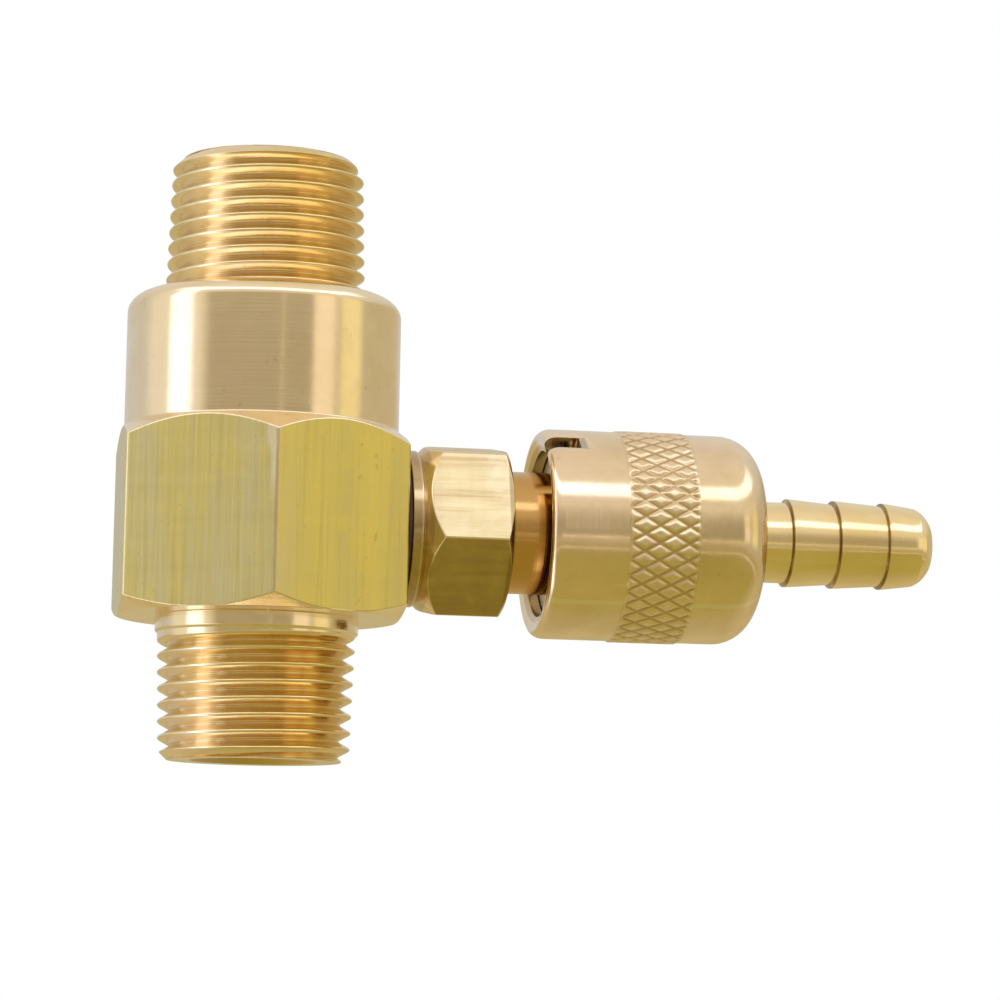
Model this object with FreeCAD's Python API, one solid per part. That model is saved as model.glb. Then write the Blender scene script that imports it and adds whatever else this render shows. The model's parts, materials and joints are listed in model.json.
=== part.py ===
import FreeCAD, Part
import math
import os

# Adjustable metering needle valve (venturi injector body with a side branch).
# Frame: origin at the centre of the inlet end face, +Z up the straight run,
# +X out along the side branch.  Millimetres.

V = FreeCAD.Vector

# Heights below are measured from the drawing datum; the machined inlet face is DATUM above it,
# and every piece is moved down by DATUM when it is saved.
DATUM = 0.45

# ---- straight run ----
Z_BRANCH = 21.10          # height of the branch axis
Z_TOP = 52.95             # outlet end face
PITCH = 25.4 / 18         # 3/8-18 taper pipe thread
TAPER = 1.0 / 32          # radius change per mm of length
THREAD_DEPTH = 1.05
CREST_GAP = 0.06          # flat at the thread root
R_RUN = 11.93             # plain cylinder
Z_SHOULDER = 40.87
SHOULDER_RR, SHOULDER_RZ = 2.07, 1.64   # elliptical corner, radial and axial
Z_CYL0 = 29.18            # where the hexagon's top chamfer meets the cylinder
HEX_AF = 24.30            # body hexagon across flats, one flat normal to +X
HEX_Z0 = 12.76
HEX_VERT0 = 13.82         # corner height at the bottom chamfer
HEX_VERT1 = 27.55         # corner height at the top chamfer
HEX_R0 = 12.20            # bottom chamfer circle
R_COLLAR = 9.00
Z_COLLAR = 11.45
Z_THREAD1 = 10.90         # where the lower thread blank widens into the collar
R_THREAD_TOP = 8.420      # crest radius at Z = 50.67
Z_REF_TOP = 50.67
R_THREAD_BOT = 8.520      # crest radius at Z = 9.343
Z_REF_BOT = 9.343
PHASE_TOP = 49.282        # groove height on +X, modulo the pitch
PHASE_BOT = 7.955
R_END_TOP = 7.45          # end chamfer edge
R_END_BOT = 7.50

# ---- bores of the run ----
R_BORE = 5.00
Z_BORE0 = 18.10           # shoulder that stops the nozzle
Z_BORE1 = 23.10           # shoulder that stops the diffuser
R_CHAMBER = 4.00
MOUTH_CHAMFER = 0.5

# ---- side port ----
X_FLAT = HEX_AF / 2
X_PORT = 6.60             # bottom of the threaded port
X_POCKET = 6.00
R_PORT = 5.00
R_POCKET = 3.00
R_PASSAGE = 1.20

# ---- nozzle and diffuser ----
R_INSERT = 4.97
NOZ_Z0 = 4.00
NOZ_TIP = 20.30
DIF_Z1 = 48.90
KEY_AF = 6.00

# ---- branch ----
WASHER_T = 0.40
WASHER_R = 6.60
X_HEX0 = X_FLAT + WASHER_T
X_HEX1 = 21.30
SHEX_AF = 14.20
SHEX_TURN = 10.8          # hexagon clocking about the branch axis, degrees
R_NECK = 5.37
X_SCREW0, X_SCREW1 = 28.60, 32.80
R_SCREW = 5.95
X_LAND1 = 38.00
R_LAND = 4.90
X_RING0, X_RING1 = 36.30, 37.40
R_RING_FLOOR = 3.68
X_STEM1 = 40.20
R_STEM_END = 3.00
R_STEM_BORE = 3.00
X_BALL_STOP = 15.60
R_AXIAL = 1.20

# ---- knob ----
X_KNOB0, X_KNOB1 = 24.30, 43.87
R_KNOB = 9.235
R_RIM_BORE = 7.27
X_RIM_BORE = 28.80
R_FEMALE = 6.00
X_FEMALE = 34.00
R_KNOB_BORE = 5.00
X_WEB = 41.30
KNURL_X0, KNURL_X1 = 31.04, 37.16
KNURL_RISE = 0.12
END_ROUND = 3.49
RIM_RX, RIM_RR = 1.06, 0.67 # elliptical lip, along and across the axis
X_BORE_MOUTH = 24.70      # inner edge of the conical rim face
SLOT_ANGLE = 54.0         # from -Y towards +Z
SLOT_W = 1.80
X_SLOT = 27.20            # inner end of the slot

# ---- retaining ring ----
GROOVE_X0, GROOVE_X1, GROOVE_R = 25.65, 26.60, 7.85
RET_X0, RET_X1 = 25.75, 26.50
RET_R0, RET_R1 = 5.55, 7.68
RET_GAP = 2.6

# ---- hose barb ----
R_BARB_NECK = 3.587
BARBS = ((46.89, 3.92), (51.15, 3.92), (55.60, 3.86))
BARB_LAND = 0.25          # cylindrical land on each barb's crest
R_BARB_MIN = 3.60
NOSE = ((58.20, 3.563), (58.72, 3.466), (59.21, 3.177), (59.45, 2.963), (59.70, 2.68),
        (59.88, 2.42), (59.95, 2.30))
X_TIP = NOSE[-1][0]
R_BARB_BORE = 2.10
R_SEAT = 2.00

# ---- check ball, its seat and spring ----
R_BALL = 2.38
X_BALL = 12.98
SEAT_X0, SEAT_X1 = 14.50, 15.60
R_SPRING = 2.00
R_WIRE = 0.20
SPRING_X0, SPRING_X1 = 6.20, 11.30
SPRING_TURNS = 5.5

# ---- needle ----
NEEDLE_R0, NEEDLE_R1 = 2.35, 0.35
NEEDLE_X1 = 43.80

os.makedirs("parts", exist_ok=True)


def save(shape, node):
    """Write one node's STEP, after a check that it is closed and sound."""
    shape = shape.removeSplitter() if shape.ShapeType != "Compound" else shape
    shape.translate(V(0, 0, -DATUM))
    if not shape.isValid() or shape.Volume <= 0:
        raise RuntimeError("bad solid: " + node)
    bb = shape.BoundBox
    print("%-18s vol %9.2f  solids %d  X %.2f..%.2f  Z %.2f..%.2f" % (
        node, shape.Volume, len(shape.Solids), bb.XMin, bb.XMax, bb.ZMin, bb.ZMax))
    shape.exportStep("parts/" + node + ".step")


def lathe_z(pts):
    """Closed (r, z) outline turned about the run's axis."""
    wire = Part.makePolygon([V(r, 0, z) for r, z in pts] + [V(pts[0][0], 0, pts[0][1])])
    return Part.Face(wire).revolve(V(0, 0, 0), V(0, 0, 1), 360)


def lathe_x(pts):
    """Closed (x, r) outline turned about the branch axis."""
    wire = Part.makePolygon([V(x, 0, Z_BRANCH + r) for x, r in pts]
                            + [V(pts[0][0], 0, Z_BRANCH + pts[0][1])])
    return Part.Face(wire).revolve(V(0, 0, Z_BRANCH), V(1, 0, 0), 360)


def rod_x(x0, x1, r):
    return Part.makeCylinder(r, x1 - x0, V(x0, 0, Z_BRANCH), V(1, 0, 0))


def rod_z(z0, z1, r):
    return Part.makeCylinder(r, z1 - z0, V(0, 0, z0), V(0, 0, 1))


def hex_prism_z(af, z0, z1, turn=30.0):
    rv = af / 2 / math.cos(math.pi / 6)
    pts = [V(rv * math.cos(math.radians(turn + 60 * k)), rv * math.sin(math.radians(turn + 60 * k)), z0)
           for k in range(7)]
    return Part.Face(Part.makePolygon(pts)).extrude(V(0, 0, z1 - z0))


def hex_prism_x(af, x0, x1, turn):
    """Hexagon about the branch axis; corner k lies turn + 60 k degrees from -Y towards +Z."""
    rv = af / 2 / math.cos(math.pi / 6)
    pts = []
    for k in range(7):
        a = math.radians(turn + 60 * k)
        pts.append(V(x0, -rv * math.cos(a), Z_BRANCH + rv * math.sin(a)))
    return Part.Face(Part.makePolygon(pts)).extrude(V(x1 - x0, 0, 0))


def taper_groove(z0, height, r_at, taper):
    """Helical 60-degree groove that follows a tapered crest line."""
    over = 0.06
    r0 = r_at(z0) - THREAD_DEPTH
    helix = Part.makeLongHelix(PITCH, height, r0, math.degrees(math.atan(taper)))
    half = (THREAD_DEPTH + over) * math.tan(math.radians(30)) + CREST_GAP / 2
    r1 = r0 + THREAD_DEPTH + over
    prof = Part.makePolygon([V(r0, 0, -CREST_GAP / 2), V(r1, 0, -half), V(r1, 0, half),
                             V(r0, 0, CREST_GAP / 2), V(r0, 0, -CREST_GAP / 2)])
    groove = Part.Wire(helix.Edges).makePipeShell([prof], True, True)
    groove.translate(V(0, 0, z0))
    return groove


def arc_pts(cx, cy, r, a0, a1, n):
    return [(cx + r * math.cos(math.radians(a0 + (a1 - a0) * i / n)),
             cy + r * math.sin(math.radians(a0 + (a1 - a0) * i / n))) for i in range(n + 1)]


# ================= valve body =================
def r_top(z):
    return R_THREAD_TOP - (z - Z_REF_TOP) * TAPER


def r_bot(z):
    return R_THREAD_BOT + (z - Z_REF_BOT) * TAPER


# upper threaded end: tapered blank, end chamfer, helical groove
ch = (r_top(Z_TOP) - R_END_TOP)
upper = lathe_z([(0, Z_SHOULDER - 1.0), (r_top(Z_SHOULDER - 1.0), Z_SHOULDER - 1.0),
                 (r_top(Z_TOP - ch), Z_TOP - ch), (R_END_TOP, Z_TOP), (0, Z_TOP)])
upper = upper.cut(taper_groove(PHASE_TOP - 8 * PITCH, 12.2 * PITCH, r_top, -TAPER))

# lower threaded end
ch = (r_bot(DATUM) - R_END_BOT)
lower = lathe_z([(0, DATUM), (R_END_BOT, DATUM), (r_bot(DATUM + ch), DATUM + ch), (r_bot(Z_THREAD1 + 0.2), Z_THREAD1 + 0.2),
                 (0, Z_THREAD1 + 0.2)])
neck = lathe_z([(0, Z_THREAD1), (r_bot(Z_THREAD1), Z_THREAD1), (R_COLLAR - 0.05, Z_COLLAR),
                (R_COLLAR, Z_COLLAR + 0.1), (R_COLLAR, HEX_Z0 + 0.5), (0, HEX_Z0 + 0.5)])
lower = lower.fuse(neck)
lower = lower.cut(taper_groove(PHASE_BOT - 7 * PITCH, 9.25 * PITCH, r_bot, TAPER))

# hexagon with both chamfers
hexa = hex_prism_z(HEX_AF, HEX_Z0, Z_CYL0)
slope_b = (14.03 - HEX_R0) / (HEX_VERT0 - HEX_Z0)
slope_t = (14.03 - R_RUN) / (Z_CYL0 - HEX_VERT1)
limit = lathe_z([(0, HEX_Z0), (HEX_R0, HEX_Z0), (HEX_R0 + slope_b * 0.9, HEX_Z0 + 0.9),
                 (R_RUN + slope_t * 1.8, Z_CYL0 - 1.8), (R_RUN, Z_CYL0), (0, Z_CYL0)])
hexa = hexa.common(limit)

# plain cylinder with a rounded upper corner
prof = [(0, Z_CYL0 - 0.5), (R_RUN, Z_CYL0 - 0.5)]
prof += [(R_RUN - SHOULDER_RR * (1 - c), Z_SHOULDER - SHOULDER_RZ * (1 - s))
         for c, s in arc_pts(0, 0, 1.0, 0, 90, 7)]
prof += [(0, Z_SHOULDER)]
cyl = lathe_z(prof)
body = upper.fuse([lower, hexa, cyl])

# bores
m = MOUTH_CHAMFER
body = body.cut(lathe_z([(0, DATUM - 1), (R_BORE + m + 1, DATUM - 1), (R_BORE + m, DATUM), (R_BORE, DATUM + m),
                         (R_BORE, Z_BORE0),
                         (R_CHAMBER, Z_BORE0), (R_CHAMBER, Z_BORE1), (R_BORE, Z_BORE1),
                         (R_BORE, Z_TOP - m), (R_BORE + m, Z_TOP), (R_BORE + m + 1, Z_TOP + 1),
                         (0, Z_TOP + 1)]))
# side port, pocket and passage
body = body.cut(lathe_x([(1.0, 0), (1.0, R_PASSAGE), (X_POCKET, R_PASSAGE), (X_POCKET, R_POCKET),
                         (X_PORT, R_POCKET), (X_PORT, R_PORT), (X_FLAT - 0.4, R_PORT),
                         (X_FLAT, R_PORT + 0.4), (X_FLAT + 1, R_PORT + 1.4), (X_FLAT + 1, 0)]))
save(body, "valve_body")

# ================= nozzle =================
def ring_groove(z, floor):
    return [(R_INSERT, z - 0.62), (floor, z - 0.62), (floor, z + 0.62), (R_INSERT, z + 0.62)]


Z_NOR = 14.6
nozzle = lathe_z([(0, NOZ_Z0), (R_INSERT - 0.3, NOZ_Z0), (R_INSERT, NOZ_Z0 + 0.3)]
                 + ring_groove(Z_NOR, 4.05)
                 + [(R_INSERT, Z_BORE0), (2.9, Z_BORE0), (2.5, Z_BORE0 + 0.6), (1.75, NOZ_TIP), (0, NOZ_TIP)])
nozzle = nozzle.cut(lathe_z([(0, 7.2), (2.6, 7.2), (1.05, 18.8), (1.05, NOZ_TIP + 1), (0, NOZ_TIP + 1)]))
nozzle = nozzle.cut(hex_prism_z(KEY_AF, NOZ_Z0 - 1, 7.6))
nozzle = nozzle.cut(lathe_z([(0, NOZ_Z0 - 0.01), (3.75, NOZ_Z0 - 0.01), (3.0, NOZ_Z0 + 0.75), (0, NOZ_Z0 + 0.75)]))
save(nozzle, "venturi_nozzle")
save(Part.makeTorus(4.525, 0.465, V(0, 0, Z_NOR), V(0, 0, 1)), "nozzle_o_ring")

# ================= diffuser =================
Z_DOR = 27.6
diff = lathe_z([(0, Z_BORE1), (R_INSERT, Z_BORE1)] + ring_groove(Z_DOR, 4.05)
               + [(R_INSERT, DIF_Z1 - 0.3), (R_INSERT - 0.3, DIF_Z1), (0, DIF_Z1)])
diff = diff.cut(lathe_z([(0, Z_BORE1 - 1), (3.6, Z_BORE1 - 1), (3.6, Z_BORE1), (1.9, 25.2), (1.5, 26.6),
                         (1.5, 29.0), (2.7, 45.4), (0, 45.4)]))
diff = diff.cut(hex_prism_z(KEY_AF, 45.2, DIF_Z1 + 1))
diff = diff.cut(lathe_z([(0, DIF_Z1 + 0.01), (3.75, DIF_Z1 + 0.01), (3.0, DIF_Z1 - 0.75), (0, DIF_Z1 - 0.75)]))
save(diff, "diffuser")
save(Part.makeTorus(4.525, 0.465, V(0, 0, Z_DOR), V(0, 0, 1)), "diffuser_o_ring")

# ================= check ball, seat, spring =================
save(Part.makeSphere(R_BALL, V(X_BALL, 0, Z_BRANCH)), "check_ball")
# conical seat that the ball touches on its 45-degree circle
xt = X_BALL + R_BALL * math.cos(math.pi / 4) + 0.012
rt = R_BALL * math.sin(math.pi / 4) + 0.012
save(lathe_x([(SEAT_X0, rt + (xt - SEAT_X0)), (xt + 0.28, rt - 0.28), (SEAT_X1, rt - 0.28),
              (SEAT_X1, 2.98), (SEAT_X0, 2.98)]), "ball_seat_ring")

# wire centre line: closed-form helix about the branch axis
length = SPRING_X1 - SPRING_X0
helix = Part.makeHelix(length / SPRING_TURNS, length, R_SPRING)
sec = Part.Wire([Part.Circle(V(R_SPRING, 0, 0), V(0, 1, 0), R_WIRE).toShape()])
spring = Part.Wire(helix.Edges).makePipeShell([sec], True, True)
spring.rotate(V(0, 0, 0), V(0, 1, 0), 90)
spring.translate(V(SPRING_X0, 0, Z_BRANCH))
save(spring, "check_spring")

# ================= washer =================
save(lathe_x([(X_FLAT, R_PORT + 0.02), (X_HEX0, R_PORT + 0.02), (X_HEX0, WASHER_R - 0.1),
              (X_HEX0 - 0.1, WASHER_R), (X_FLAT + 0.1, WASHER_R), (X_FLAT, WASHER_R - 0.1)]),
     "port_seal_washer")

# ================= metering stem =================
shex = hex_prism_x(SHEX_AF, X_HEX0, X_HEX1, -SHEX_TURN)
rv = SHEX_AF / 2 / math.cos(math.pi / 6)
shex = shex.common(lathe_x([(X_HEX0, 0), (X_HEX0, 6.75), (X_HEX0 + 0.1, 6.85), (X_HEX0 + 0.92, 6.85),
                            (X_HEX0 + 1.05, 6.6), (X_HEX0 + 1.05 + (rv + 0.3 - 6.6), rv + 0.3),
                            (X_HEX1 - 0.78, rv + 0.3), (X_HEX1, 7.15), (X_HEX1, 0)]))
stem = lathe_x([(X_PORT + 0.05, 0), (X_PORT + 0.05, 4.5), (X_PORT + 0.5, 4.95), (X_HEX0 + 0.5, 4.95),
                (X_HEX0 + 0.5, R_NECK), (X_SCREW0, R_NECK), (X_SCREW0, R_SCREW - 0.35),
                (X_SCREW0 + 0.35, R_SCREW), (X_SCREW1 - 0.5, R_SCREW), (X_SCREW1, R_SCREW - 0.6),
                (X_SCREW1, R_LAND), (X_RING0, R_LAND), (X_RING0, R_RING_FLOOR), (X_RING1, R_RING_FLOOR),
                (X_RING1, R_LAND), (X_LAND1 - 0.2, R_LAND), (X_LAND1, R_LAND - 0.2), (X_LAND1, R_STEM_END),
                (X_STEM1 - 0.2, R_STEM_END), (X_STEM1, R_STEM_END - 0.2), (X_STEM1, 0)])
stem = stem.fuse(shex)
stem = stem.cut(rod_x(X_PORT - 1, X_BALL_STOP, R_STEM_BORE))
stem = stem.cut(rod_x(X_BALL_STOP - 1, X_STEM1 + 1, R_AXIAL))
xc = X_LAND1 + 0.58
stem = stem.cut(Part.makeCylinder(0.5, 8, V(xc, -4, Z_BRANCH), V(0, 1, 0)))
stem = stem.cut(Part.makeCylinder(0.5, 8, V(xc, 0, Z_BRANCH - 4), V(0, 0, 1)))
# screw grooves of the hidden male screw
for k in range(3):
    x = X_SCREW0 + 0.85 + k
    stem = stem.cut(lathe_x([(x - 0.35, R_SCREW + 0.05), (x, R_SCREW - 0.5), (x + 0.35, R_SCREW + 0.05)]))
save(stem, "metering_stem")
save(Part.makeTorus(4.435, 0.53, V((X_RING0 + X_RING1) / 2, 0, Z_BRANCH), V(1, 0, 0)), "stem_o_ring")

# ================= needle =================
save(lathe_x([(39.15, 0), (39.15, R_AXIAL - 0.1), (39.25, R_AXIAL), (X_STEM1, R_AXIAL),
              (X_STEM1, NEEDLE_R0), (NEEDLE_X1, NEEDLE_R1), (NEEDLE_X1 + 0.12, 0)]), "metering_needle")

# ================= knob =================
outer = [(X_KNOB0, 0)]
outer += [(X_KNOB0 + RIM_RX * (1 + c), R_KNOB - RIM_RR * (1 - s))
          for c, s in arc_pts(0, 0, 1.0, 180, 90, 6)]
outer += [(KNURL_X0, R_KNOB), (KNURL_X0 + 0.08, R_KNOB + KNURL_RISE),
          (KNURL_X1 - 0.08, R_KNOB + KNURL_RISE), (KNURL_X1, R_KNOB)]
outer += arc_pts(X_KNOB1 - END_ROUND, R_KNOB - END_ROUND, END_ROUND, 90, 0, 10)
outer += [(X_KNOB1, 0)]
knob = lathe_x(outer)
knob = knob.cut(lathe_x([(X_KNOB0 - 1, 0), (X_KNOB0 - 1, R_RIM_BORE + 1.13 + 1.95), (X_KNOB0, R_RIM_BORE + 1.13), (X_BORE_MOUTH, R_RIM_BORE),
                         (GROOVE_X0, R_RIM_BORE), (GROOVE_X0, GROOVE_R), (GROOVE_X1, GROOVE_R),
                         (GROOVE_X1, R_RIM_BORE), (X_RIM_BORE, R_RIM_BORE), (X_RIM_BORE, R_FEMALE + 0.4),
                         (X_RIM_BORE + 0.4, R_FEMALE), (X_FEMALE, R_FEMALE), (X_FEMALE, R_KNOB_BORE + 0.25),
                         (X_FEMALE + 0.25, R_KNOB_BORE), (X_WEB, R_KNOB_BORE), (X_WEB, R_BARB_NECK),
                         (X_KNOB1 + 1, R_BARB_NECK), (X_KNOB1 + 1, 0)]))
# slot across the rim wall
slot = Part.makeBox(X_SLOT - X_KNOB0 + 1, 6.0, SLOT_W, V(X_KNOB0 - 1, -12.0, -SLOT_W / 2))
slot.rotate(V(0, 0, 0), V(1, 0, 0), -SLOT_ANGLE)
slot.translate(V(0, 0, Z_BRANCH))
knob = knob.cut(slot)
save(knob, "metering_knob")

# ================= retaining ring =================
ring = lathe_x([(RET_X0, RET_R0), (RET_X1, RET_R0), (RET_X1, RET_R1), (RET_X0, RET_R1)])
gap = Part.makeBox(3, 8.0, RET_GAP, V(RET_X0 - 1, -11.0, -RET_GAP / 2))
gap.rotate(V(0, 0, 0), V(1, 0, 0), -SLOT_ANGLE)
gap.translate(V(0, 0, Z_BRANCH))
save(ring.cut(gap), "retaining_ring")

# ================= hose barb =================
pts = [(X_WEB, 0), (X_WEB, R_BARB_NECK), (BARBS[0][0], R_BARB_NECK)]
for k, (x, r) in enumerate(BARBS):
    pts += [(x, r), (x + BARB_LAND, r)]
    if k < 2:
        pts.append((BARBS[k + 1][0], R_BARB_MIN))
    else:
        pts += list(NOSE)
pts.append((X_TIP, 0))
barb = lathe_x(pts)
barb = barb.cut(lathe_x([(X_WEB - 1, 0), (X_WEB - 1, 3.6), (X_WEB, 2.6), (X_WEB + 0.6, R_SEAT),
                         (X_WEB + 1.3, R_SEAT), (X_WEB + 1.4, R_BARB_BORE), (X_TIP + 1, R_BARB_BORE),
                         (X_TIP + 1, 0)]))
save(barb, "hose_barb")
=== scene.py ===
import json
import math
import bpy
import bmesh
import numpy as np
from mathutils import Matrix, Vector

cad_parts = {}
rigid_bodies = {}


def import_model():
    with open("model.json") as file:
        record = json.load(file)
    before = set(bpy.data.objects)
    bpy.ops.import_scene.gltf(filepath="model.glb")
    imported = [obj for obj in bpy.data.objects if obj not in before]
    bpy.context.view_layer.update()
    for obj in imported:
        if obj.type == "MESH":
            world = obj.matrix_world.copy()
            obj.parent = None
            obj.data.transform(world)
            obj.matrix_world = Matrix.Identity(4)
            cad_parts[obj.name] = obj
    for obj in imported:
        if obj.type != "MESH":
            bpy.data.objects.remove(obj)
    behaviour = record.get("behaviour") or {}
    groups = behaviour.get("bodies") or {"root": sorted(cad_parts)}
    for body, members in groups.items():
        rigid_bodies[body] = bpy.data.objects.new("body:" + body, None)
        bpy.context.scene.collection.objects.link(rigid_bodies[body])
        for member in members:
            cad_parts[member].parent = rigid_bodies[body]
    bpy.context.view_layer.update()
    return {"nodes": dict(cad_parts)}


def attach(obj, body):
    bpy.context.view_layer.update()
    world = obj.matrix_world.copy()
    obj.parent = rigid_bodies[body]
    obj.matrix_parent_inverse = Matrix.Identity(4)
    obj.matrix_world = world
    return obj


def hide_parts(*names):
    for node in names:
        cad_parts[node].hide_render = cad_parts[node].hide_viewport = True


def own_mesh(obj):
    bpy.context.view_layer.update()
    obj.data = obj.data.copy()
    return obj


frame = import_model()

MM = 0.001
ZB = 21.10            # height of the branch axis
PITCH = 25.4 / 18
TAPER = 1.0 / 32
DATUM = 0.45          # heights below are from the drawing datum; the inlet face is this far above it
DEG = math.pi / 180


# ------------------------------------------------------------------ mesh tools
def fillet(pts, radii, closed=False):
    """A polyline with each corner turned into a small four-point round."""
    out = []
    n = len(pts)
    for i in range(n):
        p = np.array(pts[i], float)
        r = radii[i] if i < len(radii) else 0.0
        if r <= 0 or (not closed and i in (0, n - 1)):
            out.append(p)
            continue
        a = np.array(pts[(i - 1) % n], float) - p
        b = np.array(pts[(i + 1) % n], float) - p
        la, lb = np.linalg.norm(a), np.linalg.norm(b)
        if la < 1e-9 or lb < 1e-9:
            out.append(p)
            continue
        t = min(r, 0.45 * la, 0.45 * lb)
        p0, p1 = p + a / la * t, p + b / lb * t
        for k in range(4):
            s = k / 3
            out.append((1 - s) ** 2 * p0 + 2 * s * (1 - s) * p + s * s * p1)
    return [tuple(q) for q in out]


def weighted_normals(me):
    """Vertex normals weighted by face area, so broad faces stay flat and the small rounds carry the turn."""
    n = len(me.vertices)
    co = np.zeros(n * 3)
    me.vertices.foreach_get("co", co)
    co = co.reshape(-1, 3)
    acc = np.zeros((n, 3))
    loops = np.zeros(len(me.loops), np.int32)
    me.loops.foreach_get("vertex_index", loops)
    start = np.zeros(len(me.polygons), np.int32)
    total = np.zeros(len(me.polygons), np.int32)
    me.polygons.foreach_get("loop_start", start)
    me.polygons.foreach_get("loop_total", total)
    nrm = np.zeros(len(me.polygons) * 3)
    me.polygons.foreach_get("normal", nrm)
    area = np.zeros(len(me.polygons))
    me.polygons.foreach_get("area", area)
    w = nrm.reshape(-1, 3) * area[:, None]
    face = np.repeat(np.arange(len(start)), total)
    for k in range(3):
        acc[:, k] = np.bincount(loops, weights=w[face, k], minlength=n)
    ln = np.linalg.norm(acc, axis=1)
    ln[ln == 0] = 1
    acc /= ln[:, None]
    me.shade_smooth()
    me.normals_split_custom_set_from_vertices([tuple(v) for v in acc])


def mesh_from(name, verts_mm, faces, weld=0.0006, shift=(0, 0, -DATUM)):
    me = bpy.data.meshes.new(name)
    v = (np.asarray(verts_mm, float) + np.array(shift)) * MM
    me.from_pydata([tuple(p) for p in v], [], faces)
    bm = bmesh.new()
    bm.from_mesh(me)
    bmesh.ops.remove_doubles(bm, verts=bm.verts, dist=weld * MM)
    bmesh.ops.dissolve_degenerate(bm, dist=weld * MM * 0.5, edges=bm.edges)
    bmesh.ops.recalc_face_normals(bm, faces=bm.faces)
    bm.to_mesh(me)
    bm.free()
    me.update()
    ob = bpy.data.objects.new(name, me)
    bpy.context.scene.collection.objects.link(ob)
    return ob


def grid_faces(rows, cols, close_rows=True):
    """Quads of a rows x cols grid; columns hold their own duplicate seam column."""
    f = []
    for i in range(rows if close_rows else rows - 1):
        a = i * cols
        b = ((i + 1) % rows) * cols
        for j in range(cols - 1):
            f.append((a + j, a + j + 1, b + j + 1, b + j))
    return f


def cut(ob, tool):
    """Boolean difference, applied; the result is kept only when it is sound."""
    before = len(ob.data.polygons)
    keep = ob.data.copy()
    mod = ob.modifiers.new("cut", "BOOLEAN")
    mod.operation = "DIFFERENCE"
    mod.solver = "EXACT"
    mod.object = tool
    dg = bpy.context.evaluated_depsgraph_get()
    new = bpy.data.meshes.new_from_object(ob.evaluated_get(dg))
    ob.modifiers.remove(mod)
    ok = len(new.polygons) > 0.9 * before
    if ok:
        ob.data = new
    else:
        ob.data = keep
    print("cut", ob.name, before, len(new.polygons), ok)
    bpy.data.objects.remove(tool)
    return ok


def finish_piece(ob, body, node, mats):
    weighted_normals(ob.data)
    ob.data.materials.clear()
    for m in mats:
        ob.data.materials.append(m)
    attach(ob, body)
    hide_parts(node)
    return ob


def revolve_x(name, outline, cols=128, radii=None, shape=None):
    """Closed (x, r) outline turned about the branch axis; shape(x, r, angle) may change r."""
    rad = radii if radii is not None else [0.0] * len(outline)
    pts = fillet(outline, rad, closed=True)
    th = np.asarray(cols) if not np.isscalar(cols) else np.linspace(0, 2 * math.pi, cols + 1)
    verts = []
    for x, r in pts:
        for a in th:
            rr = shape(x, r, a) if shape else r
            verts.append((x, -rr * math.cos(a), ZB + rr * math.sin(a)))
    return mesh_from(name, verts, grid_faces(len(pts), len(th)))


def box_mm(name, lo, hi):
    me = bpy.data.meshes.new(name)
    x0, y0, z0 = lo
    x1, y1, z1 = hi
    v = [(x, y, z) for x in (x0, x1) for y in (y0, y1) for z in (z0, z1)]
    f = [(0, 1, 3, 2), (4, 6, 7, 5), (0, 4, 5, 1), (2, 3, 7, 6), (0, 2, 6, 4), (1, 5, 7, 3)]
    me.from_pydata([tuple(MM * c for c in p) for p in v], [], f)
    ob = bpy.data.objects.new(name, me)
    bpy.context.scene.collection.objects.link(ob)
    return ob


# ------------------------------------------------------------------ valve body
Z_TOP, Z_SHOULDER, Z_CYL0 = 52.95, 40.87, 29.18
R_RUN = 11.93
HEX_AF, HEX_Z0, HEX_R0 = 24.30, 12.76, 12.20
HEX_VERT0, HEX_VERT1 = 13.82, 27.55
R_COLLAR, Z_COLLAR, Z_THREAD1 = 8.78, 11.45, 10.90
DEPTH = 0.98
R_END_TOP, R_END_BOT = 7.45, 7.50


def r_top(z):
    return 8.420 - (z - 50.67) * TAPER


def r_bot(z):
    return 8.520 + (z - 9.343) * TAPER


def thread_offsets():
    half = [0.0, 0.06, 0.12, 0.18, 0.38, 0.56, 0.62]
    o = sorted(set([-h for h in half] + half)) + [PITCH / 2]
    return [q for q in o if q > -PITCH / 2 + 1e-6]


def groove_depth(u):
    """Depth below the crest line at distance u from a crest centre."""
    u = abs(u)
    if u < 0.18:
        return 0.12 * (u / 0.18) ** 2
    if u < 0.56:
        return 0.12 + (u - 0.18) * 1.80
    q = (u - 0.56) / (PITCH / 2 - 0.56)
    return 0.804 + (DEPTH - 0.804) * (1 - (1 - q) ** 2)


def thread_grid(name, z_lo, z_hi, z_ref, crest, end_z, end_r, cols=180, fade=None):
    """Rows follow the helix; they collapse at the two ends of the band."""
    offs = thread_offsets()
    k = len(offs)
    n0 = int(math.floor((z_lo - z_ref) / PITCH)) - 2
    n1 = int(math.ceil((z_hi - z_ref) / PITCH)) + 2
    phis = [2 * math.pi * j / cols for j in range(cols + 1)]
    rows = [(n, o) for n in range(n0, n1 + 1) for o in offs]
    verts = []
    ch = abs(crest(end_z) - end_r)
    for n, o in rows:
        for p in phis:
            zc = z_ref + PITCH * ((p / DEG - 174.15) / 360.0) + n * PITCH
            z = zc + o
            zz = min(max(z, z_lo), z_hi)
            u = (zz - zc + PITCH / 2) % PITCH - PITCH / 2
            d = groove_depth(u)
            if fade:
                d *= fade(zz, p)
            r = crest(zz) - d
            limit = end_r + abs(zz - end_z) * (crest(end_z) - end_r) / ch * 1.0
            r = min(r, limit)
            # small irregularities of a cut thread
            r -= 0.012 * (0.5 + 0.5 * math.sin(3.1 * p + 1.7 * zz)) * (1 if d < 0.1 else 0)
            verts.append((r * math.cos(p), r * math.sin(p), zz))
    return verts, len(rows), len(phis)


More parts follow.
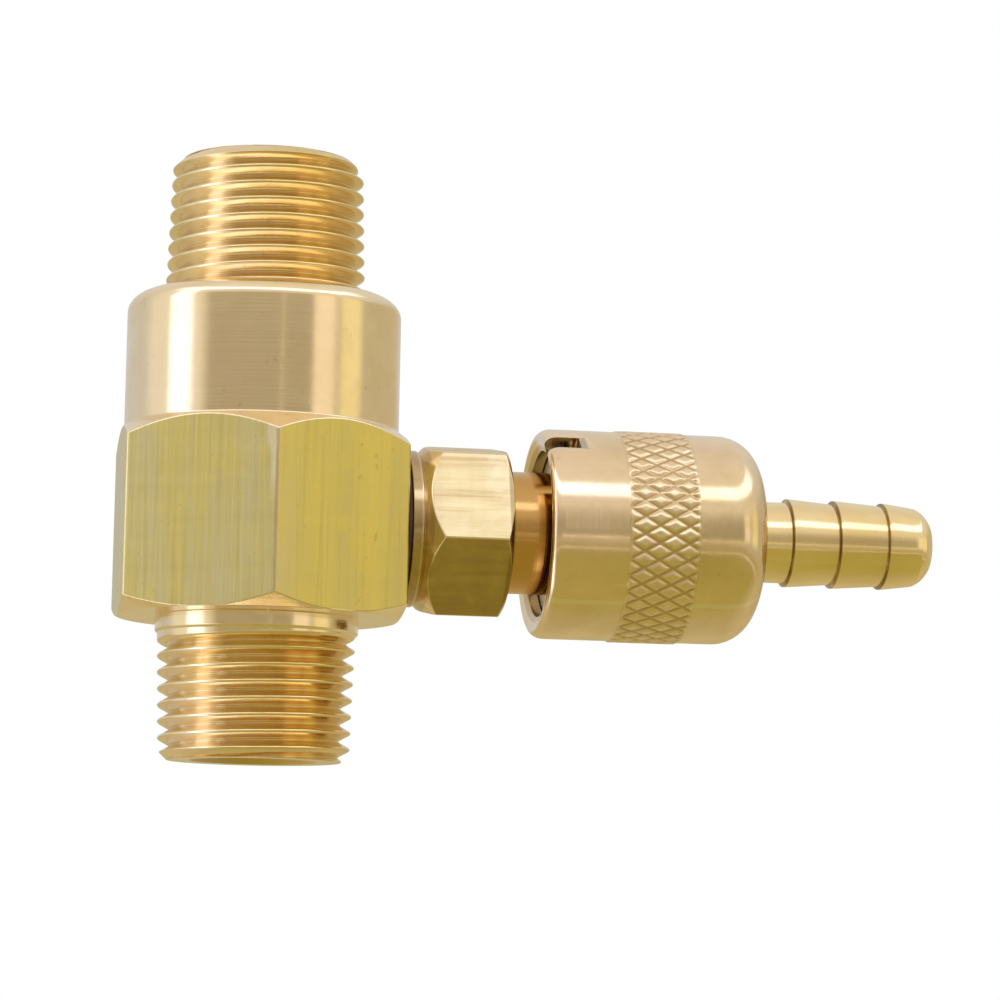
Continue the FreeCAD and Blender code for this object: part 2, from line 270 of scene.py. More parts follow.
def fade_bot(z, p):
    """The last groove runs out towards the collar."""
    deg = (p / DEG) % 360
    # height at which the tool leaves the work, later on the +X side
    late = 0.5 + 0.5 * math.cos((deg - 20) * DEG)
    return max(0.0, min(1.0, (10.85 + 0.45 * late - z) / 0.9 + 0.15))


def build_body():
    # columns: every 1.5 degrees plus the rounded hexagon corners
    ph = set(round(1.5 * j, 4) for j in range(241))
    for c in range(6):
        for d in (-1.3, -0.7, -0.35, 0.0, 0.35, 0.7, 1.3):
            v = 30 + 60 * c + d
            ph.add(round(v, 4))
    ph = sorted(ph)
    verts, cols = [], len(ph)
    rho = 0.30
    apo = HEX_AF / 2
    slope_b = (14.03 - HEX_R0) / (HEX_VERT0 - HEX_Z0)
    slope_t = (14.03 - R_RUN) / (Z_CYL0 - HEX_VERT1)

    def r_hex(deg):
        a = ((deg + 30) % 60 - 30) * DEG          # from the nearest flat's centre
        r = apo / math.cos(a)
        # corner round
        cr = (apo - rho) / math.cos(30 * DEG)
        b = 30 * DEG - abs(a)
        s = cr * math.sin(b)
        if s < rho:
            rr = cr * math.cos(b) + math.sqrt(max(rho * rho - s * s, 0))
            r = min(r, rr)
        return r

    lines = []
    for deg in ph:
        rh = r_hex(deg)
        zb = HEX_Z0 + max(0.0, rh - HEX_R0) / slope_b
        r0 = min(HEX_R0, rh)
        zt = Z_CYL0 - (rh - R_RUN) / slope_t
        pts = [(r_bot(Z_THREAD1) - 0.15, 11.20), (R_COLLAR - 0.06, Z_COLLAR + 0.02), (R_COLLAR, Z_COLLAR + 0.12),
               (R_COLLAR, HEX_Z0), (r0, HEX_Z0 + 0.0), (rh, max(zb, HEX_Z0 + 0.10)),
               (rh, HEX_Z0 + 3.2), (rh, 20.2), (rh, Z_CYL0 - 4.0), (rh, zt), (R_RUN, Z_CYL0),
               (R_RUN, 32.5), (R_RUN, 36.0)]
        rad = [0, 0, 0.03, 0.10, 0.09, 0.10, 0, 0, 0, 0.13, 0.12, 0, 0]
        q = fillet(pts, rad)
        for k in range(0, 9):
            a = k * 90 / 8 * DEG
            q.append((R_RUN - 2.07 * (1 - math.cos(a)), Z_SHOULDER - 1.64 * (1 - math.sin(a))))
        q.append((7.3, Z_SHOULDER))
        lines.append(q)
    rows = len(lines[0])
    for i in range(rows):
        for j, deg in enumerate(ph):
            r, z = lines[j][i]
            verts.append((r * math.cos(deg * DEG), r * math.sin(deg * DEG), z))
    faces = grid_faces(rows, cols, close_rows=False)

    def add(v, nr, nc):
        base = len(verts)
        verts.extend(v)
        for f in grid_faces(nr, nc, close_rows=False):
            faces.append(tuple(base + q for q in f))

    add(*thread_grid("b", DATUM, 11.36, 9.343, r_bot, DATUM, R_END_BOT, fade=fade_bot))
    add(*thread_grid("t", Z_SHOULDER - 0.05, Z_TOP, 50.67, r_top, Z_TOP, R_END_TOP))

    def ring_strip(pts, n=180):
        v = []
        for r, z in pts:
            for j in range(n + 1):
                a = 2 * math.pi * j / n
                v.append((r * math.cos(a), r * math.sin(a), z))
        add(v, len(pts), n + 1)

    ring_strip(fillet([(R_END_BOT, DATUM), (5.5, DATUM), (5.0, DATUM + 0.5), (5.0, 18.1), (4.0, 18.1), (4.0, 23.1), (5.0, 23.1),
                       (5.0, Z_TOP - 0.5), (5.5, Z_TOP), (R_END_TOP, Z_TOP)],
                      [0, 0.06, 0.06, 0.05, 0.05, 0.05, 0.05, 0.06, 0.06, 0]))
    return mesh_from("valve_body_shell", verts, faces)


body = build_body()

# side port, pocket and passage
port = revolve_x("port_tool", [(1.0, 0.001), (1.0, 1.2), (6.0, 1.2), (6.0, 3.0), (6.6, 3.0), (6.6, 5.0), (11.75, 5.0),
                               (12.15, 5.4), (13.0, 6.25), (13.0, 0.001)], cols=72)
cut(body, port)


# ------------------------------------------------------------------ metering stem
X_HEX0, X_HEX1 = 12.55, 21.30
SHEX_AF, SHEX_TURN = 14.20, 10.8


def build_stem():
    ph = set(round(2.5 * j, 4) for j in range(145))
    for c in range(6):
        for d in (-1.6, -0.9, -0.45, 0.0, 0.45, 0.9, 1.6):
            ph.add(round((-SHEX_TURN + 60 * c + d) % 360, 4))
    ph = sorted(ph)
    if ph[-1] < 360:
        ph.append(360.0)
    apo, rho = SHEX_AF / 2, 0.22
    rv = apo / math.cos(30 * DEG)

    def r_hex(deg):
        a = ((deg + SHEX_TURN) % 60 - 30) * DEG
        r = apo / math.cos(a)
        cr = (apo - rho) / math.cos(30 * DEG)
        b = 30 * DEG - abs(a)
        s = cr * math.sin(b)
        if s < rho:
            r = min(r, cr * math.cos(b) + math.sqrt(max(rho * rho - s * s, 0)))
        return r

    lines = []
    for deg in ph:
        rh = r_hex(deg)
        xl = X_HEX0 + 1.05 + max(0.02, rh - 6.6)
        slope = (rv + 0.3 - 7.15) / 0.78
        xr = X_HEX1 - max(0.03, (rh - 7.15)) / slope
        pts = [(6.65, 3.0), (6.65, 4.5), (7.10, 4.95), (X_HEX0, 4.95), (X_HEX0, 6.85), (X_HEX0 + 0.92, 6.85),
               (X_HEX0 + 1.05, 6.6), (xl, rh), (16.8, rh), (18.8, rh), (xr, rh), (X_HEX1, min(7.15, rh - 0.03)),
               (X_HEX1, 5.37), (28.6, 5.37), (28.6, 5.6), (28.95, 5.95), (29.1, 5.95), (29.45, 5.45), (29.8, 5.95),
               (30.1, 5.95), (30.45, 5.45), (30.8, 5.95), (31.1, 5.95), (31.45, 5.45), (31.8, 5.95), (32.3, 5.95),
               (32.8, 5.35), (32.8, 4.9), (36.3, 4.9), (36.3, 3.68), (37.4, 3.68), (37.4, 4.9), (37.8, 4.9),
               (38.0, 4.7), (38.0, 3.0), (40.0, 3.0), (40.2, 2.8), (40.2, 1.2), (15.6, 1.2), (15.6, 3.0)]
        rad = [0.03, 0.05, 0.05, 0, 0.12, 0.12, 0.05, 0.12, 0, 0, 0.12, 0.10, 0.08, 0.03] + [0.0] * 26
        lines.append(fillet(pts, rad, closed=True))
    rows, cols = len(lines[0]), len(ph)
    verts = []
    for i in range(rows):
        for j, deg in enumerate(ph):
            x, r = lines[j][i]
            a = deg * DEG
            verts.append((x, -r * math.cos(a), ZB + r * math.sin(a)))
    return mesh_from("metering_stem_turned", verts, grid_faces(rows, cols))


stem = build_stem()

# ------------------------------------------------------------------ knob
X_KNOB0, X_KNOB1, R_KNOB = 24.30, 43.87, 9.235
KN0, KN1 = 31.04, 37.16
STARTS = 39
KNURL_TAN = math.tan(30 * DEG)


def knurl(x, a):
    """Height of the diamond pattern above the plain knob, mm."""
    s = (x - KN0) * KNURL_TAN / 9.3
    u = ((a + s) * STARTS / (2 * math.pi)) % 1.0
    v = ((a - s) * STARTS / (2 * math.pi)) % 1.0
    gu, gv = min(u, 1 - u), min(v, 1 - v)            # distance to the nearest furrow, 0..0.5
    w = 0.26
    g = min(min(gu, w), min(gv, w)) / w
    return -0.075 + 0.185 * (g * g * (3 - 2 * g) * 0.35 + g * 0.65)


def build_knob():
    cols = STARTS * 12
    th = [2 * math.pi * j / cols for j in range(cols + 1)]
    out = [(X_KNOB0 + 1.06 * (1 + math.cos(a)), R_KNOB - 0.67 * (1 - math.sin(a)))
           for a in [DEG * (180 - 90 * k / 7) for k in range(8)]]
    out += [(27.0, R_KNOB), (28.8, R_KNOB), (KN0 - 0.10, R_KNOB)]
    kn_i0 = len(out)
    n = 46
    out += [(KN0 + (KN1 - KN0) * k / n, R_KNOB) for k in range(n + 1)]
    kn_i1 = len(out)
    out += [(KN1 + 0.10, R_KNOB), (39.0, R_KNOB)]
    out += [(X_KNOB1 - 3.49 + 3.49 * math.cos(a), R_KNOB - 3.49 + 3.49 * math.sin(a))
            for a in [DEG * (90 - 90 * k / 12) for k in range(13)]]
    inner = fillet([(X_KNOB1, 5.5), (X_KNOB1, 3.587), (41.30, 3.587), (41.30, 5.0), (34.25, 5.0), (34.0, 5.25),
                    (34.0, 6.0), (29.2, 6.0), (28.8, 6.4), (28.8, 7.27), (26.60, 7.27), (26.60, 7.85), (25.65, 7.85),
                    (25.65, 7.27), (24.70, 7.27), (X_KNOB0, 8.40)],
                   [0, 0.05, 0.03, 0.03, 0.03, 0.03, 0.03, 0.03, 0.03, 0.03, 0.04, 0.03, 0.03, 0.04, 0.12, 0.10],
                   closed=False)
    pts = out + inner
    verts = []
    for i, (x, r) in enumerate(pts):
        edge = kn_i0 < i < kn_i1 - 1
        for a in th:
            rr = r
            if edge:
                rr = r + knurl(x, a)
                if i in (kn_i0 + 1, kn_i1 - 2):
                    rr = r + 0.6 * knurl(x, a) + 0.03
            verts.append((x, -rr * math.cos(a), ZB + rr * math.sin(a)))
    return mesh_from("metering_knob_shell", verts, grid_faces(len(pts), len(th)))


knob = build_knob()
slot_tool = box_mm("slot_tool", (X_KNOB0 - 1, -11.0, -0.9), (27.20, -6.3, 0.9))
slot_tool.matrix_world = (Matrix.Translation(Vector((0, 0, (ZB - DATUM) * MM)))
                          @ Matrix.Rotation(-54.0 * DEG, 4, "X"))
bpy.context.view_layer.update()
cut(knob, slot_tool)


# ------------------------------------------------------------------ hose barb
barb_out = [(41.30, 2.6), (41.30, 3.587), (46.84, 3.587), (46.89, 3.92), (47.14, 3.92), (51.13, 3.60), (51.15, 3.92),
            (51.40, 3.92), (55.58, 3.60), (55.60, 3.86), (55.85, 3.86), (58.20, 3.563), (58.72, 3.466),
            (59.21, 3.177), (59.45, 2.963), (59.70, 2.68), (59.88, 2.42), (59.95, 2.30), (59.95, 2.12), (59.6, 2.10),
            (42.70, 2.10), (42.60, 2.0), (41.90, 2.0)]
BARB_STEPS = (0.04686, 0.05114, 0.05559)
barb_rad = [0.05, 0.05, 0.10, 0.05, 0.08, 0.10, 0.05, 0.08, 0.10, 0.05, 0.08, 0.2, 0.1, 0.1, 0.1, 0.1, 0.03, 0.03, 0.03,
            0, 0.03, 0.03, 0.05]


def turned(x, r, a):
    """Slight waviness left by turning and handling."""
    return r + (0.006 * math.sin(2 * a + 0.9 * x) if r > 3.0 else 0.0)


barb = revolve_x("hose_barb_turned", barb_out, cols=144, radii=barb_rad, shape=turned)


# ------------------------------------------------------------------ check spring
def build_spring():
    turns, x0, x1, rm, rw = 5.5, 6.22, 11.28, 2.0, 0.2
    n, m = 330, 12
    verts = []
    for i in range(n + 1):
        t = i / n
        # closed end coils: less rise in the first and last turn
        s = t * turns
        e = 0.75
        if s < e:
            f = 0.25 * s * s / e
        elif s > turns - e:
            q = turns - s
            f = turns - 2 * e * 0.75 - 0.25 * q * q / e
        else:
            f = s - 0.75 * e
        x = x0 + rw + (x1 - x0 - 2 * rw) * f / (turns - 1.5 * e)
        a = 2 * math.pi * s
        c = np.array([x, rm * math.cos(a), rm * math.sin(a)])
        rad = np.array([0, math.cos(a), math.sin(a)])
        tan = np.array([(x1 - x0) / turns / (2 * math.pi), -rm * math.sin(a), rm * math.cos(a)])
        tan /= np.linalg.norm(tan)
        bi = np.cross(tan, rad)
        for k in range(m):
            b = 2 * math.pi * k / m
            p = c + rw * (math.cos(b) * rad + math.sin(b) * bi)
            verts.append((p[0], p[1], p[2] + ZB))
    faces = []
    for i in range(n):
        for k in range(m):
            faces.append((i * m + k, i * m + (k + 1) % m, (i + 1) * m + (k + 1) % m, (i + 1) * m + k))
    faces.append(tuple(range(m)))
    faces.append(tuple(n * m + k for k in reversed(range(m))))
    return mesh_from("check_spring_wound", verts, faces)


spring = build_spring()


# ------------------------------------------------------------------ materials
class Mat:
    """A small wrapper that keeps node building short."""

    def __init__(self, name, metallic=1.0):
        self.m = bpy.data.materials.new(name)
        self.m.use_nodes = True
        self.t = self.m.node_tree
        self.t.nodes.clear()
        self.out = self.t.nodes.new("ShaderNodeOutputMaterial")
        self.b = self.t.nodes.new("ShaderNodeBsdfPrincipled")
        self.b.inputs["Metallic"].default_value = metallic
        self.t.links.new(self.b.outputs[0], self.out.inputs[0])
        self.co = self.t.nodes.new("ShaderNodeTexCoord").outputs["Object"]

    def link(self, a, b):
        self.t.links.new(a, b)

    def mapping(self, scale, loc=(0, 0, 0), rot=(0, 0, 0), src=None):
        n = self.t.nodes.new("ShaderNodeMapping")
        n.inputs["Scale"].default_value = scale
        n.inputs["Location"].default_value = loc
        n.inputs["Rotation"].default_value = rot
        self.link(src or self.co, n.inputs["Vector"])
        return n.outputs[0]

    def noise(self, vec, scale, detail=3.0, rough=0.55, dist=0.0):
        n = self.t.nodes.new("ShaderNodeTexNoise")
        n.inputs["Scale"].default_value = scale
        n.inputs["Detail"].default_value = detail
        n.inputs["Roughness"].default_value = rough
        n.inputs["Distortion"].default_value = dist
        self.link(vec, n.inputs["Vector"])
        return n.outputs[0]

    def math(self, op, a, b=None, c=None, clamp=False):
        n = self.t.nodes.new("ShaderNodeMath")
        n.operation = op
        n.use_clamp = clamp
        for i, v in enumerate((a, b, c)):
            if v is None:
                continue
            if isinstance(v, (int, float)):
                n.inputs[i].default_value = v
            else:
                self.link(v, n.inputs[i])
        return n.outputs[0]

    def ramp(self, fac, stops):
        n = self.t.nodes.new("ShaderNodeValToRGB")
        e = n.color_ramp.elements
        while len(e) < len(stops):
            e.new(0.5)
        for k, (p, c) in enumerate(stops):
            e[k].position = p
            e[k].color = (c[0], c[1], c[2], 1) if not isinstance(c, (int, float)) else (c, c, c, 1)
        self.link(fac, n.inputs[0])
        return n.outputs[0]

    def mix(self, fac, a, b, kind="MIX"):
        n = self.t.nodes.new("ShaderNodeMix")
        n.data_type = "RGBA"
        n.blend_type = kind
        for s, v in ((n.inputs[0], fac), (n.inputs[6], a), (n.inputs[7], b)):
            if isinstance(v, (int, float)):
                s.default_value = v
            elif isinstance(v, tuple):
                s.default_value = (*v, 1) if len(v) == 3 else v
            else:
                self.link(v, s)
        return n.outputs[2]

    def sep(self, vec=None):
        n = self.t.nodes.new("ShaderNodeSeparateXYZ")
        self.link(vec or self.co, n.inputs[0])
        return n.outputs

    def bump(self, height, strength, dist, normal=None):
        n = self.t.nodes.new("ShaderNodeBump")
        n.inputs["Strength"].default_value = strength
        n.inputs["Distance"].default_value = dist
        self.link(height, n.inputs["Height"])
        if normal is not None:
            self.link(normal, n.inputs["Normal"])
        return n.outputs[0]

    def pointiness_mask(self):
        """0 in hollows, 0.5 on flats, 1 on sharp edges."""
        n = self.t.nodes.new("ShaderNodeNewGeometry")
        return n.outputs["Pointiness"]

    def window(self, v, lo, hi, soft):
        """1 between lo and hi, soft edges."""
        a = self.math("MULTIPLY_ADD", v, 1 / soft, -lo / soft + 0.5, clamp=True)
        b = self.math("MULTIPLY_ADD", v, -1 / soft, hi / soft + 0.5, clamp=True)
        return self.math("MULTIPLY", a, b)


def brass(name, axis, base=(0.80, 0.66, 0.40), dark=(0.69, 0.54, 0.28), pink=(0.86, 0.70, 0.52), rough=0.15,
          lathe=1.0, specks=0.25, flats=None, low_flat=None, deep=None, bore=None, stains_and_shade=(), coarse=None, pale=None,
          bore_shade_col=(0.42, 0.31, 0.11), deep_col=(0.60, 0.33, 0.08), threads=(), furrow=None):
    """Turned brass with fine tool marks around the axis. flats is a list of unit normals and a distance: bar stock
    left as drawn, more yellow, with marks along the axis. deep is (lo, hi) along the axis, a warmer stretch.
    bore is a radius in metres inside which the colour is darkened: painted shade for the inside of the bore. low_flat
    is a normal whose face is darkened: painted shade on that flat. stains_and_shade is a list of (lo, hi, strength)
    along the axis, dark brown bands: patina at the stem hex, painted shade on the barb's step faces; coarse is (lo, hi)
    along the axis where the surface is rougher.
    pale is (lo, hi) across x where the drawn faces are greyer."""
    M = Mat(name)
    s = M.sep()
    along = s[axis]
    u, v = (s[0], s[1]) if axis == 2 else (s[1], s[2])
    if axis == 0:
        v = M.math("SUBTRACT", v, (ZB - DATUM) * MM)
    k_tool = (90, 90, 4200) if axis == 2 else (4200, 90, 90)
    k_draw = (2300, 2300, 70) if axis == 2 else (110, 2100, 2100)
    k_band = (430, 430, 45) if axis == 2 else (90, 600, 600)
    tool = M.noise(M.mapping(k_tool), 1.0, 3.0, 0.6)
    tool2 = M.noise(M.mapping(tuple(q * 0.21 for q in k_tool), loc=(3.1, 1.7, 0.4)), 1.0, 3.0, 0.6)
    mott = M.noise(M.mapping((260, 260, 260)), 1.0, 4.0, 0.6, 0.4)
    fine = M.noise(M.mapping((1500, 1500, 1500), loc=(2, 5, 1)), 1.0, 2.0, 0.5)
    big = M.noise(M.mapping((75, 75, 75), loc=(9, 3, 4)), 1.0, 2.0, 0.5)
    # colour: warm and cool clouding, dark specks in the pores, paler rubbed edges, painted shade in the hollows
    col = M.mix(M.math("MULTIPLY", M.ramp(mott, [(0.36, 0.0), (0.68, 1.0)]), 0.7), base, dark)
    col = M.mix(M.math("MULTIPLY", M.ramp(big, [(0.38, 0.0), (0.68, 1.0)]), 0.6), col, pink)
    if deep:
        col = M.mix(M.math("MULTIPLY", M.window(along, deep[0], deep[1], 0.0003), 0.85), col, deep_col)
    mask = None
    if flats:
        best = None
        for nx, ny in flats[0]:
            d = M.math("ABSOLUTE", M.math("ADD", M.math("MULTIPLY", u, nx), M.math("MULTIPLY", v, ny)))
            best = d if best is None else M.math("MAXIMUM", best, d)
        mask = M.math("MULTIPLY_ADD", best, 60000.0, -60000.0 * flats[1], clamp=True)
        mask = M.math("MULTIPLY", mask, M.window(along, flats[2], flats[3], 0.0001))
        draw = M.noise(M.mapping(k_draw, loc=(0.7, 2.3, 5.1)), 1.0, 2.0, 0.6)
        bandn = M.noise(M.mapping(k_band, loc=(4.7, 1.3, 2.1)), 1.0, 3.0, 0.55)
        drawn = M.mix(M.ramp(bandn, [(0.30, 0.0), (0.70, 1.0)]), flats[4], flats[5])
        drawn = M.mix(M.math("MULTIPLY", M.ramp(draw, [(0.28, 1.0), (0.50, 0.0)]), 0.6), drawn, flats[6])
        if pale:
            cloud = M.ramp(bandn, [(0.40, 0.25), (0.62, 1.0)])
            drawn = M.mix(M.math("MULTIPLY", M.window(s[0], pale[0], pale[1], 0.003), M.math("MULTIPLY", cloud, 0.75)),
                          drawn, (0.66, 0.60, 0.36))
        drawn = M.mix(M.math("MULTIPLY", M.ramp(mott, [(0.52, 0.0), (0.74, 1.0)]), 0.55), drawn, flats[7])
        if low_flat:
            # painted shade: the lower flat of the stem hex is darkened brown, standing in for the shade and dark
            # reflection on that face
            d = M.math("ADD", M.math("MULTIPLY", u, low_flat[0]), M.math("MULTIPLY", v, low_flat[1]))
            low = M.math("MULTIPLY_ADD", d, 20000.0, -20000.0 * (flats[1] - 0.00003), clamp=True)
            low_flat_shade_col = M.mix(M.ramp(mott, [(0.38, 0.0), (0.64, 1.0)]), (0.47, 0.33, 0.11), (0.33, 0.215, 0.065))
            drawn = M.mix(M.math("MULTIPLY", low, 0.8), drawn, low_flat_shade_col)
        col = M.mix(mask, col, drawn)
    speck = M.ramp(fine, [(0.26, 1.0), (0.325, 0.0)])
    speck = M.math("MULTIPLY", speck, M.math("MULTIPLY", M.ramp(mott, [(0.40, 0.0), (0.62, 1.0)]), specks))
    col = M.mix(speck, col, (0.16, 0.11, 0.045))
    edge = M.ramp(M.pointiness_mask(), [(0.515, 0.0), (0.58, 1.0)])
    col = M.mix(M.math("MULTIPLY", edge, 0.5), col, (0.93, 0.84, 0.68))
    # painted shade: hollows and grooves (low pointiness) are darkened brown where shade and dark reflections fall
    hollow_shade = M.ramp(M.pointiness_mask(), [(0.42, 1.0), (0.49, 0.0)])
    col = M.mix(M.math("MULTIPLY", hollow_shade, 0.55), col, (0.48, 0.30, 0.08))
    if bore:
        # painted shade: everything inside the bore radius is darkened towards the bore colour, standing in for the
        # shade inside the bore
        rr = M.math("ADD", M.math("MULTIPLY", u, u), M.math("MULTIPLY", v, v))
        inside = M.math("MULTIPLY_ADD", rr, -1.0 / (bore * bore * 0.04), 1.0 / 0.04, clamp=True)
        col = M.mix(M.math("MULTIPLY", inside, 0.8), col, bore_shade_col)
    thr = None
    for lo, hi in threads:
        w = M.window(along, lo, hi, 0.0006)
        thr = w if thr is None else M.math("MAXIMUM", thr, w)
    if thr is not None:
        # threads: more golden on the +X side than on the other
        side = M.math("MULTIPLY_ADD", s[0], 170.0, 0.62, clamp=True)
        col = M.mix(M.math("MULTIPLY", thr, M.math("MULTIPLY", side, 0.62)), col, (0.78, 0.57, 0.22))
    if furrow:
        # diamond pattern: darker in the furrows, by distance from the axis
        q = M.math("ADD", M.math("MULTIPLY", u, u), M.math("MULTIPLY", v, v))
        q = M.math("MULTIPLY_ADD", q, -1.0e6 / 1.5, furrow / 1.5, clamp=True)
        q = M.math("MULTIPLY", q, M.window(along, coarse[0], coarse[1], 0.0002))
        col = M.mix(M.math("MULTIPLY", q, 0.6), col, (0.47, 0.31, 0.12))
    # dark brown bands along the axis: patina at the stem hex, and painted shade on the barb's step faces that turn away
    # from the light
    for lo, hi, amount in stains_and_shade:
        w = M.math("MULTIPLY", M.window(along, lo, hi, 0.00012), M.ramp(mott, [(0.30, 0.55), (0.55, 1.0)]))
        col = M.mix(M.math("MULTIPLY", w, amount), col, (0.27, 0.16, 0.04))
    M.link(col, M.b.inputs["Base Color"])
    # roughness: base, streaked by the tool, duller in the mottled areas and on drawn faces
    r = M.math("MULTIPLY_ADD", tool2, 0.12, rough - 0.06)
    r = M.math("MULTIPLY_ADD", mott, 0.10, M.math("ADD", r, -0.05))
    r = M.math("MULTIPLY_ADD", speck, 0.25, r)
    if mask is not None:
        r = M.math("MULTIPLY_ADD", mask, 0.17, r)
    if coarse:
        r = M.math("MULTIPLY_ADD", M.window(along, coarse[0], coarse[1], 0.0002), 0.16, r)
    if thr is not None:
        r = M.math("MULTIPLY_ADD", thr, 0.02, r)
    M.link(M.math("MAXIMUM", r, 0.05, clamp=True), M.b.inputs["Roughness"])
    if mask is not None:
        inv = M.math("SUBTRACT", 1.0, mask)
        h = M.math("ADD", M.math("MULTIPLY", M.math("MULTIPLY", tool, inv), lathe),
                   M.math("MULTIPLY", M.math("MULTIPLY", draw, mask), 1.3))
    else:
        h = M.math("MULTIPLY", tool, lathe)
    n1 = M.bump(h, 0.30, 0.00003)
    n2 = M.bump(mott, 0.10, 0.00012, n1)
    n3 = M.bump(speck, 0.4, -0.00002, n2)
    M.link(n3, M.b.inputs["Normal"])
    return M.m


def normals(first, count=3):
    return [(math.cos((first + 60 * k) * DEG), math.sin((first + 60 * k) * DEG)) for k in range(count)]


body_mat = brass("brass_body", 2, base=(0.92, 0.78, 0.51), dark=(0.80, 0.64, 0.36), pink=(0.93, 0.76, 0.57), rough=0.15,
                 threads=((-0.001, 0.0107), (0.0405, 0.0530)), bore=0.0056, pale=(-0.0150, 0.0012),
                 flats=(normals(0), 0.012128, 0.0124, 0.0286, (0.72, 0.61, 0.19), (0.63, 0.55, 0.22),
                        (0.54, 0.45, 0.17), (0.78, 0.63, 0.15)))
stem_mat = brass("brass_stem", 0, base=(0.80, 0.62, 0.34), rough=0.16, specks=0.0, deep=(0.0213, 0.0450), bore=0.0031,
                 flats=([(-math.cos(b * DEG), math.sin(b * DEG)) for b in (19.2, 79.2, 139.2)], 0.007083, 0.0130,
                        0.0213, (0.80, 0.67, 0.40), (0.66, 0.52, 0.28), (0.46, 0.31, 0.14), (0.88, 0.78, 0.58)),
                 low_flat=(-math.cos(-40.8 * DEG), math.sin(-40.8 * DEG)),
                 stains_and_shade=((0.0118, 0.0133, 0.65), (0.0133, 0.0143, 0.35), (0.0209, 0.0217, 0.6)))
knob_mat = brass("brass_knob", 0, base=(0.86, 0.71, 0.47), pink=(0.91, 0.72, 0.55), rough=0.14, specks=0.12,
                 bore=0.0079, bore_shade_col=(0.56, 0.40, 0.18), coarse=(0.03100, 0.03720), furrow=85.9)
# painted shade: the dark bands at BARB_STEPS darken the barb's step faces that turn away from the light
barb_mat = brass("brass_barb", 0, base=(0.93, 0.77, 0.45), dark=(0.86, 0.66, 0.32), pink=(0.94, 0.78, 0.52), rough=0.15,
                 specks=0.1, bore=0.0023, stains_and_shade=tuple((x - 0.00009, x + 0.00010, 1.0) for x in BARB_STEPS))
insert_mat = brass("brass_insert", 2, base=(0.78, 0.60, 0.30), rough=0.24)


def steel(name, axis, rough=0.22):
    M = Mat(name)
    scale = [120, 120, 120]
    scale[axis] = 3000
    marks = M.noise(M.mapping(tuple(scale)), 1.0, 3.0, 0.6)
    cloud = M.noise(M.mapping((300, 300, 300)), 1.0, 3.0, 0.5)
    col = M.mix(M.ramp(cloud, [(0.35, 0.0), (0.65, 1.0)]), (0.62, 0.61, 0.59), (0.47, 0.46, 0.45))
    edge = M.ramp(M.pointiness_mask(), [(0.52, 0.0), (0.60, 1.0)])
    col = M.mix(M.math("MULTIPLY", edge, 0.5), col, (0.80, 0.79, 0.77))
    M.link(col, M.b.inputs["Base Color"])
    r = M.math("MULTIPLY_ADD", marks, 0.14, rough - 0.06)
    M.link(M.math("MULTIPLY_ADD", cloud, 0.1, r), M.b.inputs["Roughness"])
    n1 = M.bump(marks, 0.3, 0.00002)
    M.link(M.bump(cloud, 0.15, 0.0001, n1), M.b.inputs["Normal"])
    return M.m


def soft_black(name, a, b, rough, grain):
    M = Mat(name, metallic=0.0)
    g = M.noise(M.mapping((grain, grain, grain)), 1.0, 4.0, 0.6)
    c = M.noise(M.mapping((260, 260, 260), loc=(1, 2, 3)), 1.0, 3.0, 0.55)
    col = M.mix(M.ramp(c, [(0.35, 0.0), (0.65, 1.0)]), a, b)
    col = M.mix(M.math("MULTIPLY", M.ramp(g, [(0.55, 0.0), (0.72, 1.0)]), 0.35), col, tuple(min(1, 2.2 * q + 0.03) for q in b))
    M.link(col, M.b.inputs["Base Color"])
    M.link(M.math("MULTIPLY_ADD", g, 0.25, rough - 0.12), M.b.inputs["Roughness"])
    n1 = M.bump(g, 0.4, 0.00004)
    M.link(M.bump(c, 0.2, 0.0001, n1), M.b.inputs["Normal"])
    return M.m


steel_ball = steel("stainless_ball", 0, 0.14)
steel_wire = steel("stainless_wire", 1, 0.26)
steel_needle = steel("stainless_needle", 0, 0.22)
steel_ring = steel("stainless_ring", 2, 0.28)
nitrile = soft_black("nitrile_seal", (0.018, 0.018, 0.019), (0.032, 0.031, 0.030), 0.46, 4200)
fibre = soft_black("fibre_washer", (0.045, 0.022, 0.012), (0.085, 0.042, 0.022), 0.68, 5200)

finish_piece(body, "valve", "valve_body", [body_mat])
finish_piece(stem, "valve", "metering_stem", [stem_mat])
finish_piece(knob, "knob", "metering_knob", [knob_mat])
finish_piece(barb, "knob", "hose_barb", [barb_mat])
finish_piece(spring, "valve", "check_spring", [steel_wire])
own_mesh(spring)

kept = {"venturi_nozzle": insert_mat, "diffuser": insert_mat, "nozzle_o_ring": nitrile, "diffuser_o_ring": nitrile,
        "stem_o_ring": nitrile, "check_ball": steel_ball, "ball_seat_ring": nitrile, "port_seal_washer": fibre,
        "metering_needle": steel_needle, "retaining_ring": steel_ring}
for node, mat in kept.items():
    ob = frame["nodes"][node]
    if not ob.material_slots:
        ob.data.materials.append(mat)
    for sl in ob.material_slots:
        sl.material = mat


# ------------------------------------------------------------------ stage, light, camera
def stage_plane(name, size, z, mat):
    me = bpy.data.meshes.new(name)
    n = 8
    v = [(size * (2 * i / n - 1), size * (2 * j / n - 1), z) for j in range(n + 1) for i in range(n + 1)]
    f = [(j * (n + 1) + i, j * (n + 1) + i + 1, (j + 1) * (n + 1) + i + 1, (j + 1) * (n + 1) + i)
         for j in range(n) for i in range(n)]
    me.from_pydata(v, [], f)
    ob = bpy.data.objects.new(name, me)
    ob.data.materials.append(mat)
    bpy.context.scene.collection.objects.link(ob)
    return ob


